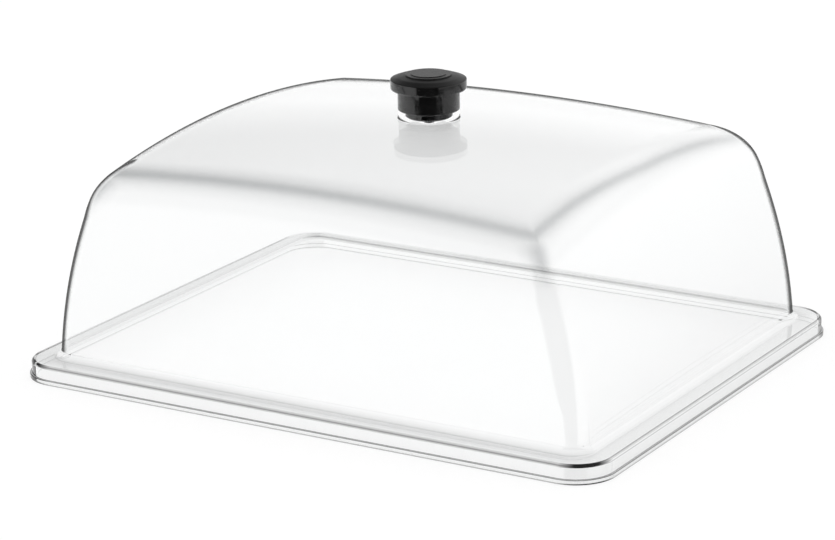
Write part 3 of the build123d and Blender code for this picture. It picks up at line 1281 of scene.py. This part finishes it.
@dataclass
class Studio:
    """Pale floor and soft light all round, with a dark flag that only mirrors see.

    Lengths are in metres. Angles are from the camera's side to the right: right_turns in radians, the
    flag's in degrees. Heights above the horizon are given as sines.
    """

    camera_azimuth: float
    floor_half: float = 6.0
    floor_drop: float = 0.0002
    floor_glow: float = 0.82
    floor_paint: Colour = (0.20, 0.20, 0.20)
    sky_white: float = 1.0
    sky_low: float = 1.0
    sky_high: float = 0.60
    sky_sines: Pair = (0.12, 0.40)
    sky_tilt: float = 2.1
    sky_top: float = 0.4
    sky_top_sines: Pair = (0.5, 0.75)
    right_loss: float = 0.5
    right_turns: Pair = (1.6, 1.9)
    flag_foot: Pair = (-0.26, -0.18)
    flag_left: Pair = (-35.5, -53.0)
    flag_right: float = 41.0
    flag_slant: float = 66.0
    flag_soft: float = 3.0
    flag_top: Pair = (0.40, 0.55)
    flag_glow: float = 0.02
    first_bounce: float = 0.5
    near_side: float = 8.5

    def bounced(self, sheet: NodeSheet) -> Socket:
        """Add a test for light that a surface has mirrored and return its value."""
        return sheet.maths("GREATER_THAN", sheet.path("Glossy Depth"), self.first_bounce)

    def mirrored(self, sheet: NodeSheet) -> Socket:
        """Add a test for light that a near surface has mirrored and return its value."""
        near = sheet.maths("LESS_THAN", sheet.path("Transmission Depth"), self.near_side)
        return sheet.times(self.bounced(sheet), near)

    def floor(self) -> None:
        """Lay the pale floor under the object. Mirrors look through it to the light all round."""
        half = self.floor_half
        corners = [(-half, -half, 0), (half, -half, 0), (half, half, 0), (-half, half, 0)]
        sheet, material = NodeSheet.of_material("pale_floor")
        paint = sheet.add("ShaderNodeBsdfDiffuse", Color=self.floor_paint)
        glow = sheet.add("ShaderNodeEmission", Strength=self.floor_glow)
        both = sheet.add("ShaderNodeAddShader", paint.outputs[0], glow.outputs[0])
        clear = sheet.add("ShaderNodeBsdfTransparent")
        sheet.show(sheet.shaders(self.mirrored(sheet), both, clear))
        mesh = bpy.data.meshes.new("pale_floor")
        mesh.from_pydata(corners, [], [(0, 1, 2, 3)])
        mesh.materials.append(material)
        floor = bpy.data.objects.new("pale_floor", mesh)
        floor.location.z = -self.floor_drop
        bpy.context.scene.collection.objects.link(floor)

    @staticmethod
    def along(sheet: NodeSheet, way: Socket, azimuth: float) -> Socket:
        """Add how far a direction leads along a level one, by its azimuth from +X, and return it."""
        level = (math.cos(math.radians(azimuth)), math.sin(math.radians(azimuth)), 0.0)
        return sheet.add("ShaderNodeVectorMath", way, level, operation="DOT_PRODUCT").outputs["Value"]

    def flag(self, sheet: NodeSheet, turn: Socket, sine: Socket) -> Socket:
        """Add the flag, a dark stretch of the horizon on the camera's side.

        Args:
            sheet: The world's nodes.
            turn: How far the direction looked in is turned from the camera's, in radians.
            sine: Its sine above the horizon.

        Returns:
            1 inside the flag and 0 outside, soft at its edges.
        """
        soft = math.radians(self.flag_soft)
        end = math.radians(self.flag_right)
        left = sheet.ranged(sine, self.flag_foot, tuple(map(math.radians, self.flag_left)))
        above = sheet.maths("MAXIMUM", sine, self.flag_foot[1])
        right = sheet.times(above, math.radians(self.flag_slant))
        past_left = sheet.maths("SUBTRACT", turn, left)
        past_right = sheet.maths("SUBTRACT", turn, right)
        return sheet.times(
            sheet.ranged(past_left, (-soft, soft), (0.0, 1.0)),
            sheet.ranged(past_right, (end - soft, end + soft), (1.0, 0.0)),
            sheet.ranged(sine, self.flag_top, (1.0, 0.0)),
        )

    def sky(self) -> None:
        """Light the scene with white, which mirrors see fade from the horizon upwards."""
        world = bpy.data.worlds.new("soft_studio")
        bpy.context.scene.world = world
        world.use_nodes = True
        sheet = NodeSheet(world.node_tree)
        way = sheet.add("ShaderNodeTexCoord").outputs["Generated"]
        sine = sheet.add("ShaderNodeSeparateXYZ", Vector=way).outputs["Z"]
        aside = self.along(sheet, way, self.camera_azimuth)
        away = self.along(sheet, way, self.camera_azimuth + 90)
        turn = sheet.maths("ARCTAN2", aside, sheet.times(away, -1.0))
        fade = sheet.ranged(sine, self.sky_sines, (self.sky_low, self.sky_high))
        far = sheet.times(sheet.maths("MAXIMUM", away, 0.0), aside, sine, self.sky_tilt)
        fade = sheet.maths("ADD", fade, far)
        top = sheet.ranged(sine, self.sky_top_sines, (0.0, self.sky_top))
        right = sheet.times(
            sheet.maths("GREATER_THAN", turn, 0.0),
            sheet.ranged(turn, self.right_turns, (1.0, 0.0)),
            sheet.ranged(sine, self.flag_foot, (self.right_loss, 0.0)),
        )
        for loss in (top, right):
            fade = sheet.maths("SUBTRACT", fade, loss)
        white, faded, dark = (
            sheet.add("ShaderNodeBackground", Color=WHITE, Strength=strength)
            for strength in (self.sky_white, fade, self.flag_glow)
        )
        flagged = sheet.times(self.flag(sheet, turn, sine), self.mirrored(sheet))
        seen = sheet.shaders(self.bounced(sheet), white, sheet.shaders(flagged, faded, dark))
        sheet.show(seen, "ShaderNodeOutputWorld")


@dataclass
class PhotoCamera:
    """The camera at the photograph's place. Angles in degrees, lengths in millimetres."""

    azimuth: float = 30.931
    elevation: float = 17.095
    roll: float = -0.874
    distance: float = 1695.21
    shift_right: float = 7.7
    shift_up: float = -43.25
    focal_pixels: float = 3255.9
    sensor: float = 36.0
    far: float = 100.0

    def place(self) -> None:
        """Make the camera and set it as the scene's."""
        az, el, roll = (math.radians(v) for v in (self.azimuth, self.elevation, self.roll))
        back = Vector((math.sin(az) * math.cos(el), -math.cos(az) * math.cos(el), math.sin(el)))
        level = Vector((math.cos(az), math.sin(az), 0.0))
        upright = back.cross(level)
        right = level * math.cos(roll) + upright * math.sin(roll)
        up = upright * math.cos(roll) - level * math.sin(roll)
        eye = back * self.distance - right * self.shift_right - up * self.shift_up
        data = bpy.data.cameras.new("photo_camera")
        data.sensor_width = self.sensor
        data.lens = self.focal_pixels / PHOTO_WIDTH * self.sensor
        data.clip_end = self.far
        camera = bpy.data.objects.new("photo_camera", data)
        turn = Matrix((right, up, back)).transposed().to_4x4()
        camera.matrix_world = Matrix.Translation(eye * MM) @ turn
        bpy.context.scene.collection.objects.link(camera)
        bpy.context.scene.camera = camera


def dress(piece: Piece, material: Material) -> None:
    """Give a piece one material, on the piece itself where its mesh has one already.

    Args:
        piece: The piece.
        material: The material.
    """
    if not piece.data.materials:
        piece.data.materials.append(material)
    for slot in piece.material_slots:
        slot.link = "OBJECT"
        slot.material = material


def tie(piece: Piece, body: str, node: str) -> None:
    """Tie a new piece to the construction.

    Args:
        piece: The new piece.
        body: The body that it moves with.
        node: The construction's node that it stands for.
    """
    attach(piece, body)
    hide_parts(node)
    LOG.info("%s stands for %s on %s, %d faces", piece.name, node, body, len(piece.data.polygons))


def main() -> None:
    """Build the cover, knob, fastening, studio and camera in order."""
    logging.basicConfig(level=logging.INFO)
    bpy.context.scene.view_settings.view_transform = "Standard"

    low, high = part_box("cover_dome")
    dome = CoverDome(length=(high[0] - low[0]) / MM, width=(high[1] - low[1]) / MM)
    tie(dome.build(), "cover", "cover_dome")

    knob = Knob()
    tie(knob.body(), "knob", "knob_body")
    tie(knob.cap(), "knob", "knob_cap")

    fittings = {"knob_insert": BRASS, "fixing_screw": STEEL, "neck_gasket": SILICONE}
    for node, finish in fittings.items():
        dress(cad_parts[node], finish.material())
        LOG.info("%s keeps its construction mesh", node)

    camera = PhotoCamera()
    camera.place()
    studio = Studio(camera.azimuth)
    studio.floor()
    studio.sky()


if __name__ == "__main__":
    main()
